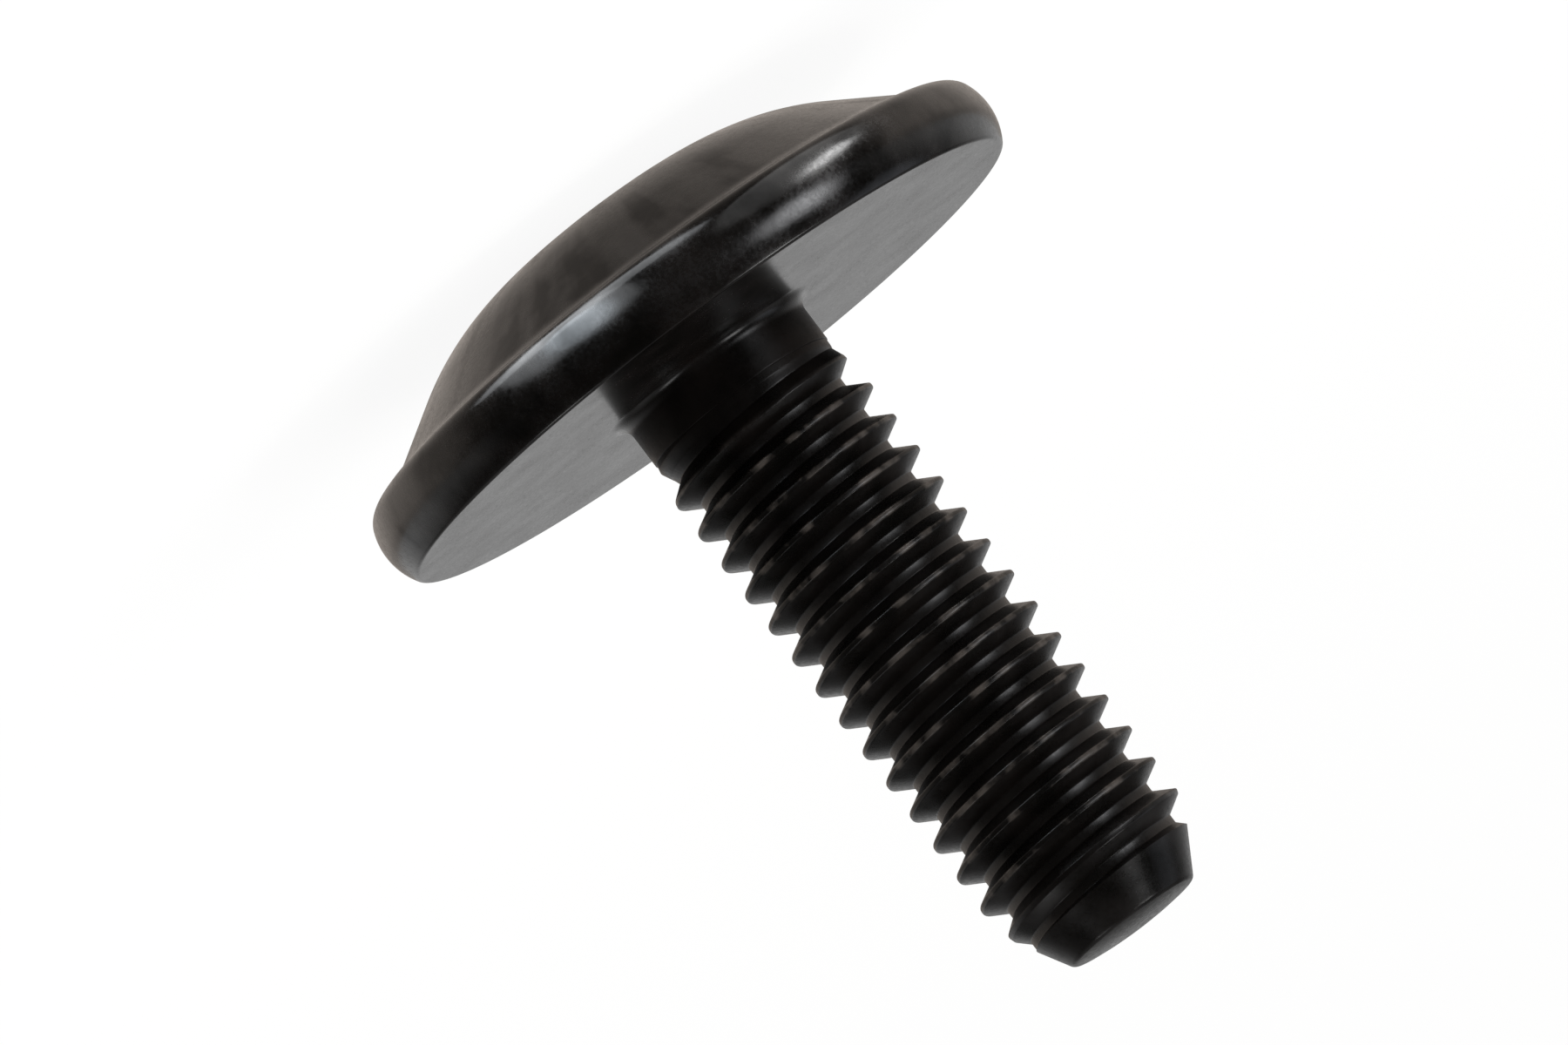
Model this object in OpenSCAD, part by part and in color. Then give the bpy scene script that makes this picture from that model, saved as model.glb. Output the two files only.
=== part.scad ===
// Wide-head machine screw with a right-hand thread, standing on its crown.
// The origin is the centre of the bearing face, and +Z runs along the shank to the tip.

/* [Head] */
// Diameter over the rim
head_d = 19.2; // [17.5:0.1:22]
// Height from the bearing face to the crown
head_h = 4.55; // [4.2:0.05:5.4]
// Diameter of the flat on the crown
crown_d = 4.8; // [3:0.1:6]
// Slope of the flank between the dome and the rim, in degrees
flank_deg = 33; // [31:0.5:36]
// Thickness of the rim at its edge
rim_h = 1.95; // [1.75:0.05:2.2]
// Radius of the rim's rounded side
rim_bulge_r = 1.7; // [1.3:0.05:2.2]
// Width of the sloping land on top of the rim
rim_land_w = 0.75; // [0.75:0.05:1.2]
// Slope of that land, in degrees
rim_land_deg = 6; // [6:0.5:12]
// Radius of the concave sweep from the flank to the land
sweep_r = 1.6; // [0.8:0.1:1.8]
// Rounding of the rim's edge beside that land
rim_top_r = 0.6; // [0.1:0.05:0.6]
// Rounding of the rim's edge beside the bearing face
rim_edge_r = 0.15; // [0.05:0.05:0.3]

/* [Drive recess] */
// Diameter across the wings at the crown
recess_d = 6.6; // [5.4:0.1:7.2]
// Diameter at which the wings meet the pointed bottom
recess_foot_d = 4.3; // [3.8:0.1:4.8]
// Thickness of a wing
wing_w = 2.1; // [1.5:0.05:2.4]
// Diameter of the hollow where the wings cross, at the crown
recess_core_d = 3.4; // [2.6:0.1:4]
// Lean of the wing ends from the axis, in degrees
wing_lean_deg = 26.5; // [24:0.5:32]
// Rise of the pointed bottom, in degrees
recess_point_deg = 28; // [15:1:32]

/* [Shank] */
// Length from the bearing face to the tip
shank_l = 18.15; // [10:0.05:40]
// Diameter of the plain neck
neck_d = 5.45; // [5.2:0.05:5.7]
// Length of the plain neck
neck_l = 1.35; // [0.8:0.05:4]
// Fillet between the neck and the bearing face
neck_fillet_r = 0.4; // [0.1:0.05:0.5]
// Slope of the tip's chamfer from the axis, in degrees
tip_deg = 30; // [20:1:45]
// Diameter at which the chamfer meets the domed end
tip_d = 3.8; // [3.4:0.1:4.6]
// Rise of the domed end above that edge
tip_rise = 0.16; // [0.05:0.01:0.2]
// Rounding of the edge of the domed end
tip_edge_r = 0.2; // [0.05:0.05:0.4]

/* [Thread] */
// Diameter over the crests
thread_d = 5.85; // [5.8:0.01:6]
// Advance in one turn
pitch = 1; // [0.9:0.05:1.25]
// Angle between the two flanks of a groove, in degrees
thread_deg = 60; // [55:1:60]
// Depth of the groove below the crests
thread_depth = 0.54; // [0.45:0.01:0.58]
// Width of the flat on a crest
crest_w = 0.125; // [0.05:0.005:0.16]
// Angle about the axis at which a crest leaves the end of the neck, in degrees
thread_start_deg = 315; // [0:5:355]
// Distance of the groove's start past the neck
groove_lag = 0.2; // [0:0.05:0.5]
// Length over which the groove then sinks to its full depth
groove_fade_l = 0.8; // [0.5:0.05:2]
// Length over which the crest rises to its full height past the neck
crest_fade_l = 1.2; // [0.5:0.05:3]
// Length over which the crest falls again before the tip's chamfer
crest_end_l = 0.7; // [0.3:0.05:2]

/* [Smoothness] */
// Facets along one turn of the thread
thread_steps = 36; // [24:4:48]
// Degrees between the points of an arc
arc_step = 5; // [3:1:10]

/* [Hidden] */
$fn = 96;
coat = "#1c1b1a";

head_r = head_d / 2;
neck_r = neck_d / 2;
tip_r = tip_d / 2;

// The rim's rounded side is an arc about this point, half way up the rim
bulge_r0 = head_r - rim_bulge_r;
bulge_z0 = rim_h / 2;
// The top corner of the rim before its edge is rounded, and the land's distance from the arc's centre
corner_r = bulge_r0 + sqrt(rim_bulge_r ^ 2 - bulge_z0 ^ 2);
land_dist = bulge_z0 * cos(rim_land_deg) + (corner_r - bulge_r0) * sin(rim_land_deg);

// The foot of the flank, where its line meets the land's line
foot_r = corner_r - rim_land_w;
foot_z = rim_h + rim_land_w * tan(rim_land_deg);
// The dome is the arc that leaves the crown level and runs smoothly into the flank
crown_r = crown_d / 2;
dome_r = ((foot_r - crown_r) * sin(flank_deg) - (head_h - foot_z) * cos(flank_deg)) / (1 - cos(flank_deg));
// The sweep's arc touches the flank and the land, both at this distance from the foot
sweep_run = sweep_r * tan((flank_deg - rim_land_deg) / 2);
sweep_r0 = foot_r + sweep_run * cos(rim_land_deg) + sweep_r * sin(rim_land_deg);
sweep_z0 = foot_z - sweep_run * sin(rim_land_deg) + sweep_r * cos(rim_land_deg);

// Depths of the recess below the crown, and how far its cutter stands out of it
wing_depth = (recess_d - recess_foot_d) / 2 / tan(wing_lean_deg);
recess_depth = wing_depth + recess_foot_d / 2 * tan(recess_point_deg);
cutter_rise = 1;

thread_r = thread_d / 2;
root_r = thread_r - thread_depth;
flank_w = thread_depth * tan(thread_deg / 2);
// The bar that the thread is rolled on, a little under the neck's surface
blank_inset = 0.03;
blank_r = neck_r - blank_inset;
// The domed end is an arc about a point on the axis, and the chamfer starts where it meets the bar
tip_z = shank_l - tip_rise;
tip_dome_r = (tip_r ^ 2 + tip_rise ^ 2) / (2 * tip_rise);
tip_dome_z0 = shank_l - tip_dome_r;
chamfer_z = tip_z - (blank_r - tip_r) / tan(tip_deg);

// Points of an arc about a centre, between two angles
function arc(centre, r, from, to) =
    let (n = max(2, ceil(abs(to - from) / arc_step)))
    [for (i = [0:n]) let (a = from + (to - from) * i / n) centre + r * [cos(a), sin(a)]];

// Rounded edge between an arc and a straight face that is face_dist from the arc's centre
// Its centre lies inside both by the rounding, as [centre, angle at the arc, angle at the face]
function rounded_edge(centre, r, edge_r, face_dist, face_deg, turn) =
    let (reach = r - edge_r)
    let (side_deg = face_deg - turn * acos((face_dist - edge_r) / reach))
    [centre + reach * [cos(side_deg), sin(side_deg)], side_deg, face_deg];

// Half section of the head and the neck, with the crown up
module head_section() {
    bulge = [bulge_r0, bulge_z0];
    low = rounded_edge(bulge, rim_bulge_r, rim_edge_r, bulge_z0, -90, -1);
    high = rounded_edge(bulge, rim_bulge_r, rim_top_r, land_dist, 90 - rim_land_deg, 1);
    polygon(concat(
        [[0, -neck_l], [neck_r, -neck_l]],
        arc([neck_r + neck_fillet_r, -neck_fillet_r], neck_fillet_r, 180, 90),
        arc(low[0], rim_edge_r, low[2], low[1]),
        arc(bulge, rim_bulge_r, low[1], high[1]),
        arc(high[0], rim_top_r, high[1], high[2]),
        arc([sweep_r0, sweep_z0], sweep_r, 270 - rim_land_deg, 270 - flank_deg),
        arc([crown_r, head_h - dome_r], dome_r, 90 - flank_deg, 90),
        [[0, head_h]]
    ));
}

// Cross-shaped hollow for the driver, with its mouth at z = 0 and its point below
module drive_recess() {
    mouth_r = recess_d / 2 + cutter_rise * tan(wing_lean_deg);
    for (turn = [0, 90])
        rotate([90, 0, turn])
            linear_extrude(wing_w, center = true)
                polygon([
                    [-mouth_r, cutter_rise],
                    [-recess_foot_d / 2, -wing_depth],
                    [0, -recess_depth],
                    [recess_foot_d / 2, -wing_depth],
                    [mouth_r, cutter_rise]
                ]);
    translate([0, 0, -wing_depth])
        cylinder(h = wing_depth + cutter_rise, d1 = wing_w, d2 = recess_core_d);
}

module head() {
    mirror([0, 0, 1])
        difference() {
            rotate_extrude()
                head_section();
            translate([0, 0, head_h])
                drive_recess();
        }
}

// Share of the full groove and of the full crest at a height along the shank
function groove_share(z) = min(1, max(0, (z - neck_l - groove_lag) / groove_fade_l));
function crest_share(z) = max(0, min(1, (z - neck_l) / crest_fade_l, (chamfer_z - z) / crest_end_l));

// Corners of one pitch of the thread: whether on the crest, and the distance along the axis
thread_corners = [
    [false, -crest_w / 2 - flank_w],
    [true, -crest_w / 2],
    [true, crest_w / 2],
    [false, crest_w / 2 + flank_w]
];
corners = len(thread_corners);
first_z = neck_l - pitch;
turns = ceil((shank_l - first_z) / pitch) + 1;

// The rows inside the neck are gathered just above the body's lower end
thread_low_z = neck_l - pitch / 2;
thread_high_z = first_z + pitch * (turns + 1);
row_gap = 0.01;

function thread_point(step, row) =
    let (corner = thread_corners[row % corners])
    let (helix_z = first_z + corner[1] + pitch * (floor(row / corners) + step / thread_steps))
    let (z = max(helix_z, thread_low_z + row_gap * (row + 1)))
    let (rise = corner[0] ? (thread_r - blank_r) * crest_share(z) : (root_r - blank_r) * groove_share(z))
    column_point(step, blank_r + rise, z);

function column_point(step, r, z) =
    let (a = thread_start_deg + 360 * step / thread_steps)
    [r * cos(a), r * sin(a), z];

// Core and ridge of the thread in one body, from inside the neck to past the tip
module thread_body() {
    // A column of points at each step round the axis, from the lower end to the upper end
    top = turns * corners + 1;
    points = [
        for (step = [0:thread_steps - 1])
            each [
                column_point(step, blank_r, thread_low_z),
                for (row = [0:turns * corners - 1]) thread_point(step, row),
                column_point(step, root_r, thread_high_z)
            ]
    ];
    function at(step, k) = step * (top + 1) + k;
    last = thread_steps - 1;
    // Two triangles between neighbouring columns, from a row to the next
    function patch(step, k, next, k_next) = [
        [at(step, k), at(step, k + 1), at(next, k_next + 1)],
        [at(step, k), at(next, k_next + 1), at(next, k_next)]
    ];
    walls = [for (step = [0:last - 1], k = [0:top - 1]) each patch(step, k, step + 1, k)];
    // The last column meets the first one a whole pitch further along, and fans close both ends
    seam = [for (k = [1:top - 2 - corners]) each patch(last, k, 0, k + corners)];
    low_fan = [
        [at(last, 0), at(last, 1), at(0, 0)],
        for (k = [0:corners]) [at(last, 1), at(0, k + 1), at(0, k)]
    ];
    high_fan = [
        for (k = [top - 1 - corners:top - 1]) [at(last, k), at(last, k + 1), at(0, top - 1)],
        [at(last, top), at(0, top), at(0, top - 1)]
    ];
    ends = [
        [for (step = [0:last]) at(step, 0)],
        [for (step = [last:-1:0]) at(step, top)]
    ];
    polyhedron(points, concat(walls, seam, low_fan, high_fan, ends), convexity = 10);
}

// What the domed end and its chamfer leave of the shank
module tip_envelope() {
    clear_r = thread_r + pitch;
    dome = [0, tip_dome_z0];
    chamfer_dist = tip_r * cos(tip_deg) + (tip_z - tip_dome_z0) * sin(tip_deg);
    edge = rounded_edge(dome, tip_dome_r, tip_edge_r, chamfer_dist, tip_deg, -1);
    rotate_extrude()
        polygon(concat(
            [[0, 0], [clear_r, 0]],
            [[clear_r, tip_z - (clear_r - tip_r) / tan(tip_deg)]],
            arc(edge[0], tip_edge_r, tip_deg, edge[1]),
            arc(dome, tip_dome_r, edge[1], 90)
        ));
}

module screw() {
    color(coat) {
        head();
        intersection() {
            thread_body();
            tip_envelope();
        }
    }
}

screw();
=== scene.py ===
import math

import bmesh
import bpy
from mathutils import Matrix, Vector


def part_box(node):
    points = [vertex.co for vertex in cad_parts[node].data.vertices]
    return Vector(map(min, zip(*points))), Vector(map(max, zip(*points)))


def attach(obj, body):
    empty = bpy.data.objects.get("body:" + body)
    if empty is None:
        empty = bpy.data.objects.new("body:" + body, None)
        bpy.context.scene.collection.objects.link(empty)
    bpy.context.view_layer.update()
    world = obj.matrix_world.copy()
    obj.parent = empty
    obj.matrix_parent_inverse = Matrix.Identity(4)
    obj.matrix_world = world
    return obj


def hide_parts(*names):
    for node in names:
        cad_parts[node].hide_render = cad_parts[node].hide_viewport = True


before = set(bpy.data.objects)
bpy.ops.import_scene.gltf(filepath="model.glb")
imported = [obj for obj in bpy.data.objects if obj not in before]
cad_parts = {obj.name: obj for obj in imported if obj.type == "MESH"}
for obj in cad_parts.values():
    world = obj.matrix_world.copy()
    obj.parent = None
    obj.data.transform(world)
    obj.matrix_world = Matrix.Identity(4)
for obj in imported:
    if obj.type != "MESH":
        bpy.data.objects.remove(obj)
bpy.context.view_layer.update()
mm = 0.001  # outlines are drawn in millimetres and scaled once, at the end
sameWithin = {"start": 1e-6, "outline": 1e-5, "turn": 1e-4, "cut": 2e-4}  # mm, points so near are one


def linear(hexColour):
    # sRGB hex to the linear colour that the shaders take
    channels = [int(hexColour[i:i + 2], 16) / 255 for i in (1, 3, 5)]
    return [c / 12.92 if c <= 0.04045 else ((c + 0.055) / 1.055) ** 2.4 for c in channels] + [1]


def addNode(tree, kind, sockets=None, **settings):
    # one node with its settings, and a value or a link for each named socket
    node = tree.nodes.new("ShaderNode" + kind)
    for name, value in settings.items():
        setattr(node, name, value)
    for name, value in (sockets or {}).items():
        if isinstance(value, bpy.types.NodeSocket):
            tree.links.new(value, node.inputs[name])
        else:
            node.inputs[name].default_value = value
    return node


def perMetre(size):
    # noise scale for a pattern of so many millimetres
    return 1 / (size * mm)


# Outlines: a chain of straight runs and arcs in the XZ plane

def onCircle(centre, radius, angle):
    return Vector((centre[0] + radius * math.cos(math.radians(angle)), 0,
                   centre[1] + radius * math.sin(math.radians(angle))))


def drawLine(bm, vert, point):
    # short first and last spans keep the shading of a flat run flat
    hold = 0.04
    run = point - vert.co
    stops = [hold / run.length, 1 - hold / run.length, 1] if run.length > 4 * hold else [1]
    start = vert.co.copy()
    for share in stops:
        vert = bmesh.ops.extrude_vert_indiv(bm, verts=[vert])["verts"][0]
        vert.co = start + run * share
    return vert


def drawArc(bm, vert, centre, radius, fromAngle, toAngle, step=3):
    # a straight run to the start of the arc, then the arc itself, with at most so many degrees to a step
    start = onCircle(centre, radius, fromAngle)
    if (start - vert.co).length > sameWithin["start"]:
        vert = drawLine(bm, vert, start)
    turn = toAngle - fromAngle
    steps = max(4, math.ceil(abs(turn) / step))  # four at least
    spun = bmesh.ops.spin(bm, geom=[vert], cent=(centre[0], 0, centre[1]), axis=(0, -1, 0),
                          angle=math.radians(turn), steps=steps)
    return next(part for part in spun["geom_last"] if isinstance(part, bmesh.types.BMVert))


def roundedCorner(arcRadius, edgeRadius, faceDistance):
    # where a rounded edge between an arc and a straight face has its centre, seen from the arc's centre:
    # the angle off the line square to the face, and the distance
    reach = arcRadius - edgeRadius
    return math.degrees(math.acos((faceDistance - edgeRadius) / reach)), reach


def turnOutline(bm, steps):
    # a closed solid of revolution from an outline that starts and ends on the axis
    bmesh.ops.spin(bm, geom=bm.verts[:] + bm.edges[:], axis=(0, 0, 1), cent=(0, 0, 0),
                   angle=math.tau, steps=steps, use_merge=True)
    bmesh.ops.remove_doubles(bm, verts=bm.verts, dist=sameWithin["outline"])
    bmesh.ops.recalc_face_normals(bm, faces=bm.faces)


def combine(body, tool, operation):
    # joins, cuts or trims a closed body with another one
    pair = []
    for bm in (body, tool):
        mesh = bpy.data.meshes.new("blank")
        bm.to_mesh(mesh)
        bm.free()
        pair.append(bpy.data.objects.new("blank", mesh))
        bpy.context.scene.collection.objects.link(pair[-1])
    modifier = pair[0].modifiers.new("combine", "BOOLEAN")
    modifier.operation = operation
    modifier.solver = "EXACT"
    modifier.object = pair[1]
    result = bmesh.new()
    result.from_object(pair[0], bpy.context.evaluated_depsgraph_get())
    for blank in pair:
        bpy.data.meshes.remove(blank.data)
    return result


# Screw: head, recess, shank and thread, in millimetres and degrees

low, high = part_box("screw")
headShape = {
    "radius": high.x / mm,
    "height": -low.z / mm,
    "crownRadius": 2.4,  # flat of the crown
    "flankSlope": 33,
    "rimHeight": 1.95,
    "bulgeRadius": 1.7,  # rounded side of the rim
    "landWidth": 0.75,  # sloping face of the rim beside the dome
    "landSlope": 6,
    "sweepRadius": 1.6,  # concave run from the flank to the land
    "landEdge": 0.6,  # rounding between the land and the side
    "faceEdge": 0.15,  # rounding between the side and the bearing face
    "neckRadius": 2.725,
    "neckLength": 1.35,
    "neckFillet": 0.4,
    "neckEdge": 0.03,
    "turnSteps": 240,
}
recessShape = {
    "mouthRadius": 3.3,
    "footRadius": 2.15,
    "wingWidth": 2.1,
    "wingLean": 26.5,
    "pointSlope": 28,
    "coreRadius": 1.7,
    "coreSteps": 64,
    "rounding": 0.12,
    "roundingSteps": 3,
}
shankShape = {
    "length": high.z / mm,
    "crestRadius": 2.925,
    "rootRadius": 2.385,
    "blankRadius": 2.695,  # bar that the thread is rolled on
    "pitch": 1,
    "halfAngle": 30,
    "crestWidth": 0.125,
    "crestAtFront": 0.475,  # height of a crest over the +X axis
    "crestFade": 1.2,  # the crest rises over this length past the neck
    "grooveLag": 0.2,  # the groove starts a little later
    "grooveFade": 0.8,  # and deepens over this length
    "crestEnd": 0.7,  # the crest falls away before the chamfer
    "rounding": 0.03,
    "roundingSteps": 3,
    "tipRadius": 1.9,
    "tipRise": 0.16,  # the end is slightly domed
    "tipSlope": 30,
    "tipEdge": 0.2,
    "turnSteps": 96,
}


def makeHead():
    shape = headShape
    slope, land = math.radians(shape["flankSlope"]), math.radians(shape["landSlope"])
    halfRim = shape["rimHeight"] / 2
    rimSide = (shape["radius"] - shape["bulgeRadius"], -halfRim)
    cornerRadius = rimSide[0] + math.sqrt(shape["bulgeRadius"] ** 2 - halfRim ** 2)
    landDistance = halfRim * math.cos(land) + (cornerRadius - rimSide[0]) * math.sin(land)
    foot = Vector((cornerRadius - shape["landWidth"],
                   -shape["rimHeight"] - shape["landWidth"] * math.tan(land)))
    # the dome leaves the crown level and ends on the flank's slope
    domeRadius = ((foot.x - shape["crownRadius"]) * math.sin(slope)
                  - (shape["height"] + foot.y) * math.cos(slope)) / (1 - math.cos(slope))
    sweepRun = shape["sweepRadius"] * math.tan((slope - land) / 2)
    sweep = foot + Vector((sweepRun * math.cos(land) + shape["sweepRadius"] * math.sin(land),
                           sweepRun * math.sin(land) - shape["sweepRadius"] * math.cos(land)))
    # each rim edge is an arc inside the bulge and the face next to it
    landTurn, landReach = roundedCorner(shape["bulgeRadius"], shape["landEdge"], landDistance)
    faceTurn, faceReach = roundedCorner(shape["bulgeRadius"], shape["faceEdge"], halfRim)
    landSide, faceSide = landTurn - 90 + shape["landSlope"], 90 - faceTurn
    landEdge = onCircle(rimSide, landReach, landSide)
    faceEdge = onCircle(rimSide, faceReach, faceSide)
    fillet = (shape["neckRadius"] + shape["neckFillet"], shape["neckFillet"])
    neckEdge = (shape["neckRadius"] - shape["neckEdge"], shape["neckLength"] - shape["neckEdge"])

    bm = bmesh.new()
    end = bm.verts.new((0, 0, -shape["height"]))
    end = drawArc(bm, end, (shape["crownRadius"], domeRadius - shape["height"]), domeRadius,
                  -90, shape["flankSlope"] - 90, step=1.5)
    end = drawArc(bm, end, sweep, shape["sweepRadius"], 90 + shape["flankSlope"], 90 + shape["landSlope"])
    end = drawArc(bm, end, landEdge.xz, shape["landEdge"], shape["landSlope"] - 90, landSide, step=5)
    end = drawArc(bm, end, rimSide, shape["bulgeRadius"], landSide, faceSide)
    end = drawArc(bm, end, faceEdge.xz, shape["faceEdge"], faceSide, 90, step=8)
    end = drawArc(bm, end, fillet, shape["neckFillet"], -90, -180, step=10)
    end = drawArc(bm, end, neckEdge, shape["neckEdge"], 0, 90, step=30)
    drawLine(bm, end, Vector((0, 0, shape["neckLength"])))
    turnOutline(bm, shape["turnSteps"])
    return bm


def makeRecessCutters():
    # two crossed wings with a pointed floor, and a round core
    shape = recessShape
    crown = -headShape["height"]
    rise = 1  # the cutters stand this far out of the crown
    lean = math.tan(math.radians(shape["wingLean"]))
    wingDepth = (shape["mouthRadius"] - shape["footRadius"]) / lean
    pointDepth = wingDepth + shape["footRadius"] * math.tan(math.radians(shape["pointSlope"]))
    outer = shape["mouthRadius"] + rise * lean
    corners = [(-outer, -rise), (-shape["footRadius"], wingDepth), (0, pointDepth),
               (shape["footRadius"], wingDepth), (outer, -rise)]
    cutters = []
    for quarter in (0, 1):
        bm = bmesh.new()
        verts = [bm.verts.new((x, -shape["wingWidth"] / 2, crown + depth)) for x, depth in corners]
        side = bm.faces.new(verts)
        grown = bmesh.ops.extrude_face_region(bm, geom=[side])["geom"]
        grownVerts = [part for part in grown if isinstance(part, bmesh.types.BMVert)]
        bmesh.ops.translate(bm, verts=grownVerts, vec=(0, shape["wingWidth"], 0))
        bmesh.ops.recalc_face_normals(bm, faces=bm.faces)
        bmesh.ops.bevel(bm, geom=bm.edges, offset=shape["rounding"], offset_type="OFFSET", affect="EDGES",
                        segments=shape["roundingSteps"], profile=0.5, material=-1)
        bmesh.ops.rotate(bm, verts=bm.verts, cent=(0, 0, 0),
                         matrix=Matrix.Rotation(math.pi / 2 * quarter, 3, "Z"))
        cutters.append(bm)
    core = bmesh.new()
    bmesh.ops.create_cone(core, cap_ends=True, segments=shape["coreSteps"], radius1=shape["coreRadius"],
                          radius2=shape["wingWidth"] / 2, depth=wingDepth + rise)
    bmesh.ops.translate(core, verts=core.verts, vec=(0, 0, crown + (wingDepth - rise) / 2))
    cutters.append(core)
    return cutters


def makeThread():
    shape = shankShape
    pitch = shape["pitch"]
    flank = (shape["crestRadius"] - shape["rootRadius"]) * math.tan(math.radians(shape["halfAngle"]))
    halfCrest = shape["crestWidth"] / 2
    firstCrest = shape["crestAtFront"] - pitch
    turns = math.ceil((shape["length"] - firstCrest) / pitch) + 1

    # one pitch of the section, from the middle of a groove to the middle of the next
    corners = [(shape["rootRadius"], -pitch / 2), (shape["rootRadius"], -halfCrest - flank),
               (shape["crestRadius"], -halfCrest), (shape["crestRadius"], halfCrest),
               (shape["rootRadius"], halfCrest + flank), (shape["rootRadius"], pitch / 2)]
    bm = bmesh.new()
    verts = [bm.verts.new((radius, 0, firstCrest + along)) for radius, along in corners]
    for pair in zip(verts, verts[1:]):
        bm.edges.new(pair)
    bmesh.ops.bevel(bm, geom=verts[1:-1], offset=shape["rounding"], offset_type="OFFSET", affect="VERTICES",
                    segments=shape["roundingSteps"], profile=0.5, material=-1)
    # one turn of it climbs a pitch, and each next turn is a copy a pitch further along
    bmesh.ops.spin(bm, geom=bm.verts[:] + bm.edges[:], axis=(0, 0, 1), cent=(0, 0, 0), angle=math.tau,
                   steps=shape["turnSteps"], dvec=(0, 0, pitch / shape["turnSteps"]))
    turn = bm.verts[:] + bm.edges[:] + bm.faces[:]
    for count in range(1, turns):
        copy = bmesh.ops.duplicate(bm, geom=turn)["geom"]
        bmesh.ops.translate(bm, verts=[part for part in copy if isinstance(part, bmesh.types.BMVert)],
                            vec=(0, 0, pitch * count))
    bmesh.ops.remove_doubles(bm, verts=bm.verts, dist=sameWithin["turn"])

    # both ends are cut square, inside the neck and past the tip
    for height, outward in ((headShape["neckLength"] / 2, -1), (shape["length"] + pitch / 2, 1)):
        bmesh.ops.bisect_plane(bm, geom=bm.verts[:] + bm.edges[:] + bm.faces[:], plane_co=(0, 0, height),
                               plane_no=(0, 0, outward), clear_outer=True)
    bmesh.ops.holes_fill(bm, edges=[edge for edge in bm.edges if edge.is_boundary])

    # the thread runs out at both ends: groove and crest shrink to the bar's radius
    neckEnd = headShape["neckLength"]
    chamferStart = shape["length"] - shape["tipRise"] - (
        shape["blankRadius"] - shape["tipRadius"]) / math.tan(math.radians(shape["tipSlope"]))
    for vert in bm.verts:
        radius = vert.co.xy.length
        past = vert.co.z - neckEnd
        if radius > shape["blankRadius"]:
            share = min(past / shape["crestFade"], (chamferStart - vert.co.z) / shape["crestEnd"])
        else:
            share = (past - shape["grooveLag"]) / shape["grooveFade"]
        wanted = shape["blankRadius"] + (radius - shape["blankRadius"]) * max(0, min(1, share))
        vert.co.xy *= wanted / radius
    bmesh.ops.recalc_face_normals(bm, faces=bm.faces)
    return bm


def makeTipTrimmer():
    # what the chamfer and the domed end leave of the shank
    shape = shankShape
    slope = math.radians(shape["tipSlope"])
    radius, rise = shape["tipRadius"], shape["tipRise"]
    domeRadius = (radius ** 2 + rise ** 2) / (2 * rise)
    dome = (0, shape["length"] - domeRadius)
    chamferDistance = radius * math.cos(slope) + (domeRadius - rise) * math.sin(slope)
    edgeTurn, reach = roundedCorner(domeRadius, shape["tipEdge"], chamferDistance)
    edgeSide = shape["tipSlope"] + edgeTurn
    edge = onCircle(dome, reach, edgeSide)
    clear = shape["crestRadius"] + shape["pitch"]  # outside the thread
    chamferFoot = shape["length"] - rise - (clear - radius) / math.tan(slope)
    bm = bmesh.new()
    end = bm.verts.new((0, 0, 0))
    end = drawLine(bm, end, Vector((clear, 0, 0)))
    end = drawLine(bm, end, Vector((clear, 0, chamferFoot)))
    end = drawArc(bm, end, edge.xz, shape["tipEdge"], shape["tipSlope"], edgeSide, step=8)
    drawArc(bm, end, dome, domeRadius, edgeSide, 90, step=2)
    turnOutline(bm, shape["turnSteps"] * 2)
    return bm


def makeScrew():
    hardFrom = 35  # degrees between faces; the recess's mouth and the ends of the thread stay hard
    head = makeHead()
    for cutter in makeRecessCutters():
        head = combine(head, cutter, "DIFFERENCE")
    print("head and recess:", len(head.faces), "faces")
    thread = combine(makeThread(), makeTipTrimmer(), "INTERSECT")
    print("thread:", len(thread.faces), "faces")
    screw = combine(head, thread, "UNION")
    # the cuts leave slivers and faces of many corners
    bmesh.ops.remove_doubles(screw, verts=screw.verts, dist=sameWithin["cut"])
    bmesh.ops.dissolve_degenerate(screw, edges=screw.edges, dist=sameWithin["cut"])
    bmesh.ops.triangulate(screw, faces=[face for face in screw.faces if len(face.verts) > 4])
    bmesh.ops.dissolve_degenerate(screw, edges=screw.edges, dist=sameWithin["cut"])
    bmesh.ops.recalc_face_normals(screw, faces=screw.faces)
    bmesh.ops.scale(screw, vec=(mm, mm, mm), verts=screw.verts)
    mesh = bpy.data.meshes.new("screw_steel")
    screw.to_mesh(mesh)
    screw.free()
    mesh.shade_smooth()
    mesh.set_sharp_from_angle(angle=math.radians(hardFrom))
    piece = bpy.data.objects.new("screw_steel", mesh)
    bpy.context.scene.collection.objects.link(piece)
    return piece


# Black coat: epoxy that the steel was dipped in. To the eye it is a deep, slightly brown black that mirrors
# its surroundings softly, with clouds and wiping marks in the gloss, and grey on the crests that is partly
# rubbed wear and partly a painted glint along them

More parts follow.
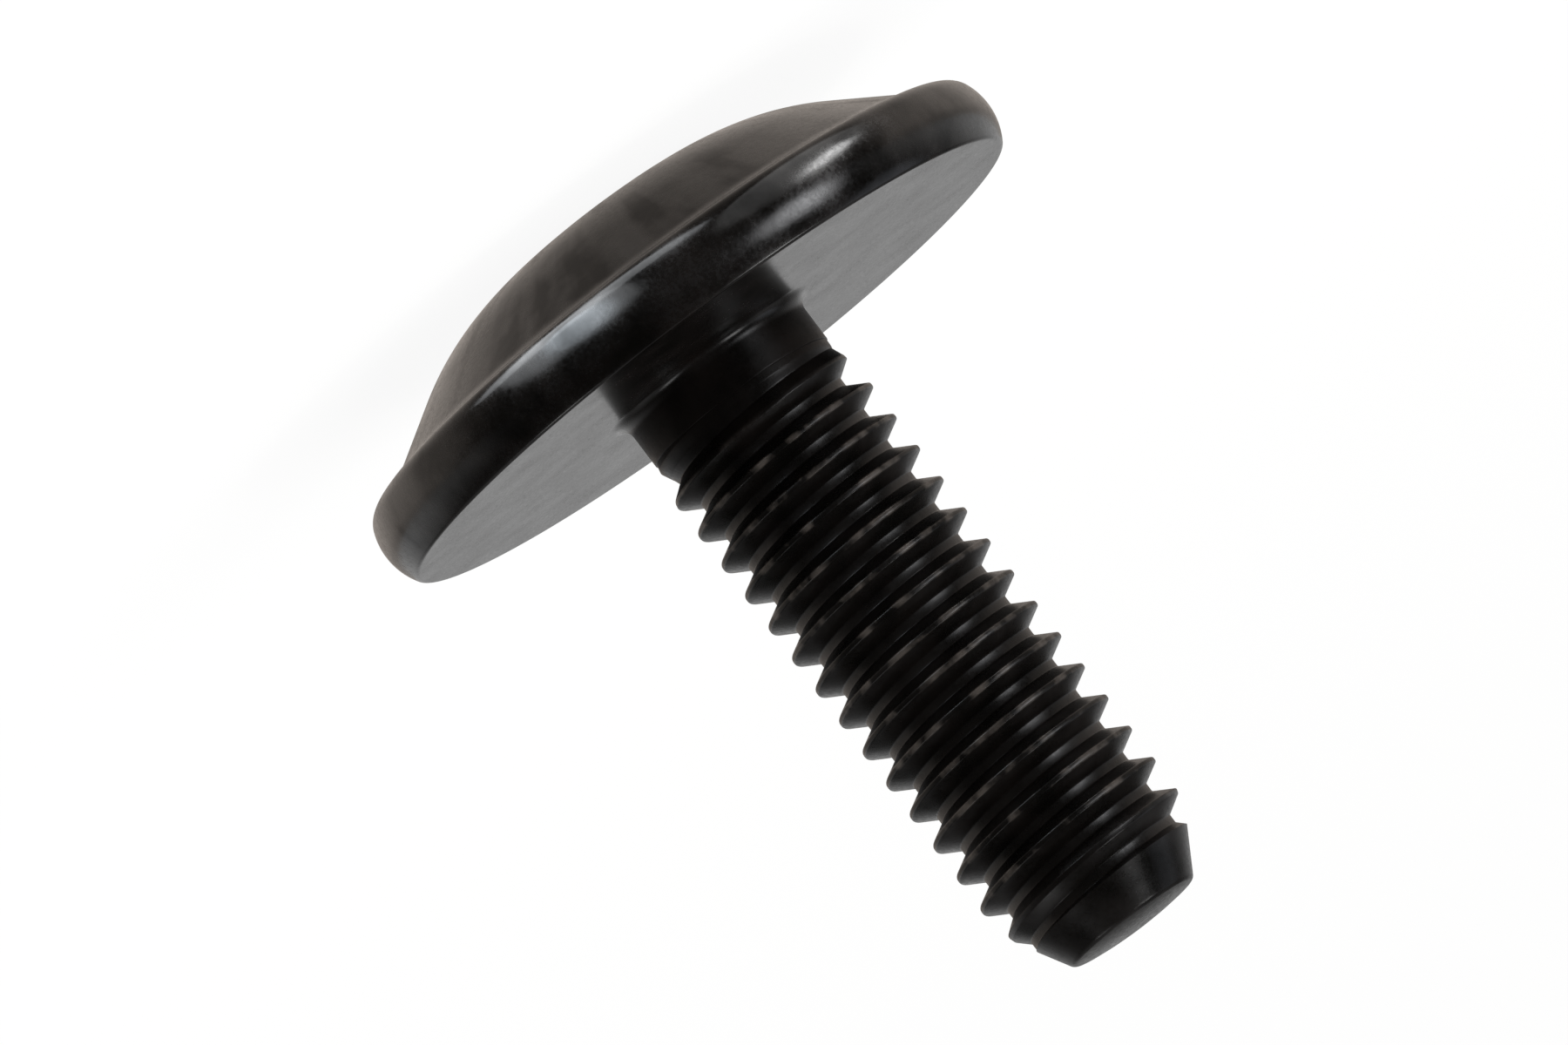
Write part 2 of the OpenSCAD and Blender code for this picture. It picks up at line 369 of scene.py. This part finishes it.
coatLook = {
    "deep": "#070605",
    "thin": "#110d0b",  # where the coat is thin the steel warms it to brown
    "ior": 1.5,
    "glossy": 0.13,  # least roughness
    "dull": 0.36,  # most
    "sheen": (0.22, 0.78),  # specular level, least and most
    "cloudSize": 1.4,  # mm
    "thinSpan": (0.35, 0.7),  # of the clouds' noise, from deep to thin
    "sheenSpan": (0.75, 1.25),  # of clouds and wiping marks together, from least to most
    "gritSize": 0.1,
    "dullSpan": (1.1, 1.95),  # of clouds, wiping marks and grit together
    "streakSize": 0.9,  # across a wiping mark, which runs outwards from the axis
    "streakLength": 5,
    "streakAt": 6,  # mm from the axis where the marks are that wide
    "streakSpan": (0.2, 0.8),  # of their noise, which sets how strong they are
    "domeSpan": (-1.6, -2.4),  # mm along Z where they set in
    "worn": "#48423d",  # rubbed crests of the thread, partly wear and partly a painted glint
    "wornFrom": 2.86,  # mm from the axis
    "wornSize": 0.7,  # mm between the rubbed stretches, which also carry the painted glint
    "wornSpan": (0.47, 0.65),  # of their noise, from coated to rubbed and painted glint
    "wornMost": 0.9,  # share of that worn and painted glint grey at most
    "threadSpan": (1.4, 1.6),  # mm along Z where the thread starts
    "shankSpan": (0.05, 0.4),  # mm along Z where the shank starts
    "neckSheen": 0.2,  # share of the head's sheen on the neck, where the coat dries dull
    "shankSheen": 0.6,  # and on the thread
    "shankDull": 0.08,  # and the roughness that this adds
    "peelSize": 0.35,  # between the humps of the orange peel
    "peelHeight": 0.003,
    "grainSize": 0.07,  # grain of the rolled steel, coarser than the real one, which would not show
    "grainHeight": 0.001,
    "flatFace": 0.5,  # share of the unevenness that is left on the flat face under the head
    "flatSpan": (-0.2, -0.05),  # mm along Z where that face starts
}


def makeCoat():
    look = coatLook
    middle = 0.5  # of any noise
    material = bpy.data.materials.new("black_dipped_epoxy")
    material.use_nodes = True
    tree = material.node_tree
    tree.nodes.clear()
    place = addNode(tree, "TexCoord").outputs["Object"]
    height = addNode(tree, "SeparateXYZ", {0: place}).outputs["Z"]

    # wiping marks on the dome: noise that is stretched outwards from the axis
    flat = addNode(tree, "VectorMath", {0: place, 1: (1, 1, 0)}, operation="MULTIPLY").outputs["Vector"]
    outward = addNode(tree, "VectorMath", {0: flat}, operation="NORMALIZE").outputs["Vector"]
    away = addNode(tree, "VectorMath", {0: flat}, operation="LENGTH").outputs["Value"]
    stretch = look["streakSize"] / look["streakLength"]
    along = addNode(tree, "Math", {0: away, 1: stretch}, operation="MULTIPLY")
    lengthwise = addNode(tree, "CombineXYZ", {"Z": along.outputs[0]})
    around = look["streakAt"] * mm
    polar = addNode(tree, "VectorMath", {0: outward, 1: (around, around, 0),
                                         2: lengthwise.outputs["Vector"]}, operation="MULTIPLY_ADD")
    wiped = addNode(tree, "TexNoise", {"Vector": polar.outputs["Vector"],
                                       "Scale": perMetre(look["streakSize"]), "Detail": 3})
    marks = addNode(tree, "MapRange", {"Value": wiped.outputs["Fac"], "From Min": look["streakSpan"][0],
                                       "From Max": look["streakSpan"][1]})
    onDome = addNode(tree, "MapRange", {"Value": height, "From Min": look["domeSpan"][0] * mm,
                                        "From Max": look["domeSpan"][1] * mm})
    streak = addNode(tree, "Mix", {0: onDome.outputs["Result"], 2: middle, 3: marks.outputs["Result"]})

    # colour: clouds of thinner coat, and crests that are rubbed in places, their grey partly a painted
    # glint
    cloud = addNode(tree, "TexNoise", {"Vector": place, "Scale": perMetre(look["cloudSize"]),
                                       "Detail": 3}).outputs["Fac"]
    patchy = addNode(tree, "MapRange", {"Value": cloud, "From Min": look["thinSpan"][0],
                                        "From Max": look["thinSpan"][1]})
    coated = addNode(tree, "MixRGB", {"Fac": patchy.outputs["Result"], "Color1": linear(look["deep"]),
                                      "Color2": linear(look["thin"])})
    # the grey on the crests is partly wear and partly a painted glint that stands in for their highlights
    crest = addNode(tree, "MapRange", {"Value": away, "From Min": look["wornFrom"] * mm,
                                       "From Max": shankShape["crestRadius"] * mm})
    onThread = addNode(tree, "MapRange", {"Value": height, "From Min": look["threadSpan"][0] * mm,
                                          "From Max": look["threadSpan"][1] * mm,
                                          "To Max": look["wornMost"]})
    rubbedAndGlinting = addNode(tree, "Math", {0: crest.outputs["Result"], 1: onThread.outputs["Result"]},
                     operation="MULTIPLY")
    stretches = addNode(tree, "TexNoise", {"Vector": place, "Scale": perMetre(look["wornSize"]),
                                           "Detail": 3})
    bareAndGlinting = addNode(tree, "MapRange", {"Value": stretches.outputs["Fac"], "From Min": look["wornSpan"][0],
                                      "From Max": look["wornSpan"][1]})
    wearAndGlintPatches = addNode(tree, "Math", {0: rubbedAndGlinting.outputs[0], 1: bareAndGlinting.outputs["Result"]}, operation="MULTIPLY")
    colour = addNode(tree, "MixRGB", {"Fac": wearAndGlintPatches.outputs[0], "Color1": coated.outputs["Color"],
                                      "Color2": linear(look["worn"])})

    # the flat face under the head is evener than the rest
    shank = addNode(tree, "MapRange", {"Value": height, "From Min": look["shankSpan"][0] * mm,
                                       "From Max": look["shankSpan"][1] * mm}).outputs["Result"]
    underHead = addNode(tree, "MapRange", {"Value": height, "From Min": look["flatSpan"][0] * mm,
                                           "From Max": look["flatSpan"][1] * mm, "To Min": 1,
                                           "To Max": look["flatFace"]}).outputs["Result"]
    uneven = addNode(tree, "Math", {0: underHead, 1: shank}, operation="MAXIMUM").outputs[0]
    blotches = addNode(tree, "Math", {0: streak.outputs[0], 1: cloud}, operation="ADD")
    blotches = addNode(tree, "Mix", {0: uneven, 2: 2 * middle, 3: blotches.outputs[0]}).outputs[0]

    # gloss: clear and clouded patches, and a duller shank
    sheen = addNode(tree, "MapRange", {"Value": blotches, "From Min": look["sheenSpan"][0],
                                       "From Max": look["sheenSpan"][1], "To Min": look["sheen"][0],
                                       "To Max": look["sheen"][1]})
    neck = headShape["neckLength"]
    drained = addNode(tree, "MapRange", {"Value": height, "From Min": neck * mm, "From Max": 2 * neck * mm,
                                         "To Min": look["neckSheen"], "To Max": look["shankSheen"]})
    sheenShare = addNode(tree, "Mix", {0: shank, 2: 1, 3: drained.outputs["Result"]})
    level = addNode(tree, "Math", {0: sheen.outputs["Result"], 1: sheenShare.outputs[0]},
                    operation="MULTIPLY")
    grit = addNode(tree, "TexNoise", {"Vector": place, "Scale": perMetre(look["gritSize"]), "Detail": 2})
    gritHere = addNode(tree, "Mix", {0: uneven, 2: middle, 3: grit.outputs["Fac"]})
    rough = addNode(tree, "Math", {0: gritHere.outputs[0], 1: blotches}, operation="ADD")
    gloss = addNode(tree, "MapRange", {"Value": rough.outputs[0], "From Min": look["dullSpan"][0],
                                       "From Max": look["dullSpan"][1], "To Min": look["glossy"],
                                       "To Max": look["dull"]})
    roughness = addNode(tree, "Math", {0: shank, 1: look["shankDull"], 2: gloss.outputs["Result"]},
                        operation="MULTIPLY_ADD")

    # surface: orange peel of the coat over the grain of the steel
    humps = addNode(tree, "TexNoise", {"Vector": place, "Scale": perMetre(look["peelSize"]), "Detail": 1})
    grains = addNode(tree, "TexNoise", {"Vector": place, "Scale": perMetre(look["grainSize"]), "Detail": 2})
    peel = addNode(tree, "Bump", {"Height": humps.outputs["Fac"], "Strength": uneven,
                                  "Distance": look["peelHeight"] * mm})
    grain = addNode(tree, "Bump", {"Height": grains.outputs["Fac"], "Strength": uneven,
                                   "Distance": look["grainHeight"] * mm, "Normal": peel.outputs["Normal"]})
    shader = addNode(tree, "BsdfPrincipled", {"Base Color": colour.outputs["Color"], "IOR": look["ior"],
                                              "Specular IOR Level": level.outputs[0],
                                              "Roughness": roughness.outputs[0],
                                              "Normal": grain.outputs["Normal"]})
    addNode(tree, "OutputMaterial", {"Surface": shader.outputs["BSDF"]})
    return material


screw = makeScrew()
screw.data.materials.append(makeCoat())
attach(screw, "root")
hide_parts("screw")
print("screw:", len(screw.data.polygons), "faces")


# Studio: white table, a dark room in front, a bright wall behind and soft lamps

studioLook = {
    "table": "#e8e7e5",
    "tableReach": 3.0,  # metres
    "tableDrop": 0.01,  # mm that it lies clear of the crown
    "shadowShare": 0.12,  # share of the table's own shading in what the camera sees
    "white": 1.05,  # glow to the camera, which comes out white with that share mixed in
    "warm": "#fff3e9",  # tint of the table in the gloss
    "tableGlow": 0.65,  # what the gloss sees of the table, under the head and behind it
    "darkGlow": 0.06,  # and in front
    "darkSpan": (-12, 0),  # mm along Y, from dark to bright
    "glowSpan": (70, 25),  # mm from the middle, from the far glow to the full one
    "farGlow": 0.65,  # share of the glow that is left far away
    "plain": 0.85,  # even light on the coat's own colour
    "darkRoom": 0.03,  # what the gloss sees of the room in front and above
    "sideWall": 0.8,  # low at the sides, towards the back
    "sideSpan": (-0.5, 0.7),  # Y of the direction, from the dark room to the side wall
    "lowSpan": (0.13, 0.5),  # and Z of the direction, back to the dark room
    "brightWall": 0.08,  # added straight behind
    "wallSpan": (28, 10),  # degrees from straight behind, from none of it to all
    "ceiling": 0.3,  # above, towards the back
    "ceilingSpan": (0.5, 0.75),  # Z of the direction, from none of it to all
    "behindSpan": (-0.1, 0.4),  # and Y of the direction
}


def makeTable():
    look = studioLook
    bm = bmesh.new()
    bmesh.ops.create_grid(bm, x_segments=1, y_segments=1, size=look["tableReach"])
    bmesh.ops.translate(bm, verts=bm.verts, vec=(0, 0, low.z - look["tableDrop"] * mm))
    mesh = bpy.data.meshes.new("table")
    bm.to_mesh(mesh)
    bm.free()
    table = bpy.data.objects.new("table", mesh)
    bpy.context.scene.collection.objects.link(table)
    # white acrylic: a clean white with a faint shadow, and in the gloss a warm light that fades in front
    material = bpy.data.materials.new("white_acrylic_table")
    material.use_nodes = True
    tree = material.node_tree
    tree.nodes.clear()
    ray = addNode(tree, "LightPath").outputs
    place = addNode(tree, "TexCoord").outputs["Object"]
    along = addNode(tree, "SeparateXYZ", {0: place}).outputs["Y"]
    away = addNode(tree, "VectorMath", {0: place}, operation="LENGTH").outputs["Value"]
    near = addNode(tree, "MapRange", {"Value": away, "From Min": look["glowSpan"][0] * mm,
                                      "From Max": look["glowSpan"][1] * mm, "To Min": look["farGlow"]},
                   interpolation_type="SMOOTHSTEP")
    back = addNode(tree, "MapRange", {"Value": along, "From Min": look["darkSpan"][0] * mm,
                                      "From Max": look["darkSpan"][1] * mm},
                   interpolation_type="SMOOTHSTEP")
    lit = addNode(tree, "Math", {0: near.outputs["Result"], 1: back.outputs["Result"]},
                  operation="MULTIPLY")
    glow = addNode(tree, "MapRange", {"Value": lit.outputs[0], "To Min": look["darkGlow"],
                                      "To Max": look["tableGlow"]})
    strength = addNode(tree, "Mix", {0: ray["Is Camera Ray"], 2: glow.outputs["Result"], 3: look["white"]})
    tint = addNode(tree, "MixRGB", {"Fac": ray["Is Camera Ray"], "Color1": linear(look["warm"]),
                                    "Color2": linear("#ffffff")})
    own = addNode(tree, "Emission", {"Color": tint.outputs["Color"], "Strength": strength.outputs[0]})
    matt = addNode(tree, "BsdfDiffuse", {"Color": linear(look["table"])})
    # the matt table lights other surfaces, the camera sees a share of it, and the gloss none
    share = addNode(tree, "Math", {0: ray["Is Camera Ray"], 1: 1 - look["shadowShare"],
                                   2: ray["Is Glossy Ray"]}, operation="MULTIPLY_ADD")
    surface = addNode(tree, "MixShader", {0: share.outputs[0], 1: matt.outputs[0], 2: own.outputs[0]})
    addNode(tree, "OutputMaterial", {"Surface": surface.outputs[0]})
    table.data.materials.append(material)


def makeWorld():
    look = studioLook
    world = bpy.data.worlds.new("studio")
    bpy.context.scene.world = world
    world.use_nodes = True
    tree = world.node_tree
    tree.nodes.clear()
    ray = addNode(tree, "LightPath").outputs
    towards = addNode(tree, "SeparateXYZ", {0: addNode(tree, "TexCoord").outputs["Generated"]}).outputs
    wallFrom, wallTo = [math.cos(math.radians(angle)) for angle in look["wallSpan"]]
    wall = addNode(tree, "MapRange", {"Value": towards["Y"], "From Min": wallFrom, "From Max": wallTo,
                                      "To Max": look["brightWall"]}, interpolation_type="SMOOTHSTEP")
    side = addNode(tree, "MapRange", {"Value": towards["Y"], "From Min": look["sideSpan"][0],
                                      "From Max": look["sideSpan"][1], "To Min": look["darkRoom"],
                                      "To Max": look["sideWall"]})
    above = addNode(tree, "MapRange", {"Value": towards["Z"], "From Min": look["lowSpan"][0],
                                       "From Max": look["lowSpan"][1], "To Min": 1,
                                       "To Max": look["darkRoom"] / look["sideWall"]})
    walls = addNode(tree, "Math", {0: side.outputs["Result"], 1: above.outputs["Result"],
                                   2: wall.outputs["Result"]}, operation="MULTIPLY_ADD")
    ceiling = addNode(tree, "MapRange", {"Value": towards["Z"], "From Min": look["ceilingSpan"][0],
                                         "From Max": look["ceilingSpan"][1], "To Max": look["ceiling"]})
    behind = addNode(tree, "MapRange", {"Value": towards["Y"], "From Min": look["behindSpan"][0],
                                        "From Max": look["behindSpan"][1]})
    room = addNode(tree, "Math", {0: ceiling.outputs["Result"], 1: behind.outputs["Result"],
                                  2: walls.outputs[0]}, operation="MULTIPLY_ADD")
    inGloss = addNode(tree, "Mix", {0: ray["Is Glossy Ray"], 2: look["plain"], 3: room.outputs[0]})
    strength = addNode(tree, "Mix", {0: ray["Is Camera Ray"], 2: inGloss.outputs[0], 3: 1})
    sky = addNode(tree, "Background", {"Strength": strength.outputs[0]})
    addNode(tree, "OutputWorld", {"Surface": sky.outputs[0]})


# Lamps: where each stands and what it points at in mm, its size in mm, its turn in degrees, and its
# brightness against white. The small ones near the head are reflector cards, seen in the gloss alone
lamps = {
    "overheadLeft": {"at": (95, -20, 175), "towards": (0, 0, 8), "size": (50, 50), "turn": 0,
                     "bright": 3.5, "colour": "#ffffff", "card": False},
    "overheadRight": {"at": (-82, -52, 175), "towards": (0, 0, 8), "size": (50, 50), "turn": 0,
                      "bright": 8, "colour": "#ffffff", "card": False},
    "highRight": {"at": (-150, 26, 129), "towards": (0, 0, 16), "size": (100, 100), "turn": 0,
                  "bright": 0.6, "colour": "#eef4ff", "card": False},
    "rightBox": {"at": (-118, -100, 36), "towards": (-4, -8, 0), "size": (88, 80), "turn": 0,
                 "bright": 3.5, "colour": "#fbfcff", "card": False},
    "rightCore": {"at": (-119, -98, 33), "towards": (-4, -8, 0), "size": (45, 55), "turn": 0,
                  "bright": 4.6, "colour": "#fbfcff", "card": False},
    "leftCard": {"at": (5.3, -15.2, -4.45), "towards": (5.3, -15.2, 0), "size": (9, 15.5), "turn": -10,
                 "bright": 2.3, "colour": "#f2f6fa", "card": True},
    "leftCore": {"at": (4.5, -14.4, -4.4), "towards": (4.5, -14.4, 0), "size": (4, 10.5), "turn": -15,
                 "bright": 6, "colour": "#e4f0fa", "card": True},
    "edgeStrip": {"at": (2.4, -9.4, -4.35), "towards": (2.4, -9.4, 0), "size": (11.5, 2.6), "turn": -16,
                  "bright": 2.8, "colour": "#f2f6fa", "card": True},
    "rightCard": {"at": (-10, -11.5, -4.45), "towards": (-10, -11.5, 0), "size": (12, 11), "turn": 0,
                  "bright": 1, "colour": "#ffffff", "card": True},
    "rightSpot": {"at": (-11.7, -9.7, -4.4), "towards": (-11.7, -9.7, 0), "size": (3.4, 4.5), "turn": 0,
                  "bright": 16.5, "colour": "#ffffff", "card": True},
}


def makeLamps():
    cardSpread = 160  # degrees; low over the table a card gives no light
    for name, lamp in lamps.items():
        data = bpy.data.lights.new(name, "AREA")
        data.shape = "ELLIPSE"
        data.size, data.size_y = [side * mm for side in lamp["size"]]
        # watts that make an ellipse of this size so bright
        data.energy = lamp["bright"] * math.pi * math.pi / 4 * data.size * data.size_y
        data.color = linear(lamp["colour"])[:3]
        if lamp["card"]:
            data.spread = math.radians(cardSpread)
        thing = bpy.data.objects.new(name, data)
        bpy.context.scene.collection.objects.link(thing)
        aim = (Vector(lamp["towards"]) - Vector(lamp["at"])).to_track_quat("-Z", "Y").to_matrix().to_4x4()
        spin = Matrix.Rotation(math.radians(lamp["turn"]), 4, "Z")
        thing.matrix_world = Matrix.Translation(Vector(lamp["at"]) * mm) @ aim @ spin
        thing.visible_camera = False
        thing.visible_diffuse = not lamp["card"]


view = {
    "elevation": 7.2,  # the camera looks a little past the bearing face, from the tip's side
    "roll": 143,  # turns the tip to the lower right of the picture
    "aim": (0.974, 4.405),  # middle of the picture, mm to the right of and above the bearing face
    "frameWidth": 39.91,  # mm across the picture at the screw
    "lens": 600,
    "clip": (0.01, 100),  # share of the distance to the screw, and metres
}


def makeCamera():
    data = bpy.data.cameras.new("camera")
    data.lens = view["lens"]
    camera = bpy.data.objects.new("camera", data)
    bpy.context.scene.collection.objects.link(camera)
    tilt = Matrix.Rotation(math.radians(90 - view["elevation"]), 4, "X")
    roll = Matrix.Rotation(math.radians(view["roll"]), 4, "Z")
    distance = view["frameWidth"] * mm * view["lens"] / data.sensor_width
    stand = tilt @ Vector((view["aim"][0] * mm, view["aim"][1] * mm, distance))
    camera.matrix_world = Matrix.Translation(stand) @ tilt @ roll
    data.clip_start, data.clip_end = distance * view["clip"][0], view["clip"][1]
    bpy.context.scene.camera = camera


makeTable()
makeWorld()
makeLamps()
makeCamera()
bpy.context.scene.view_settings.view_transform = "Standard"
print("studio, lamps and camera are set")
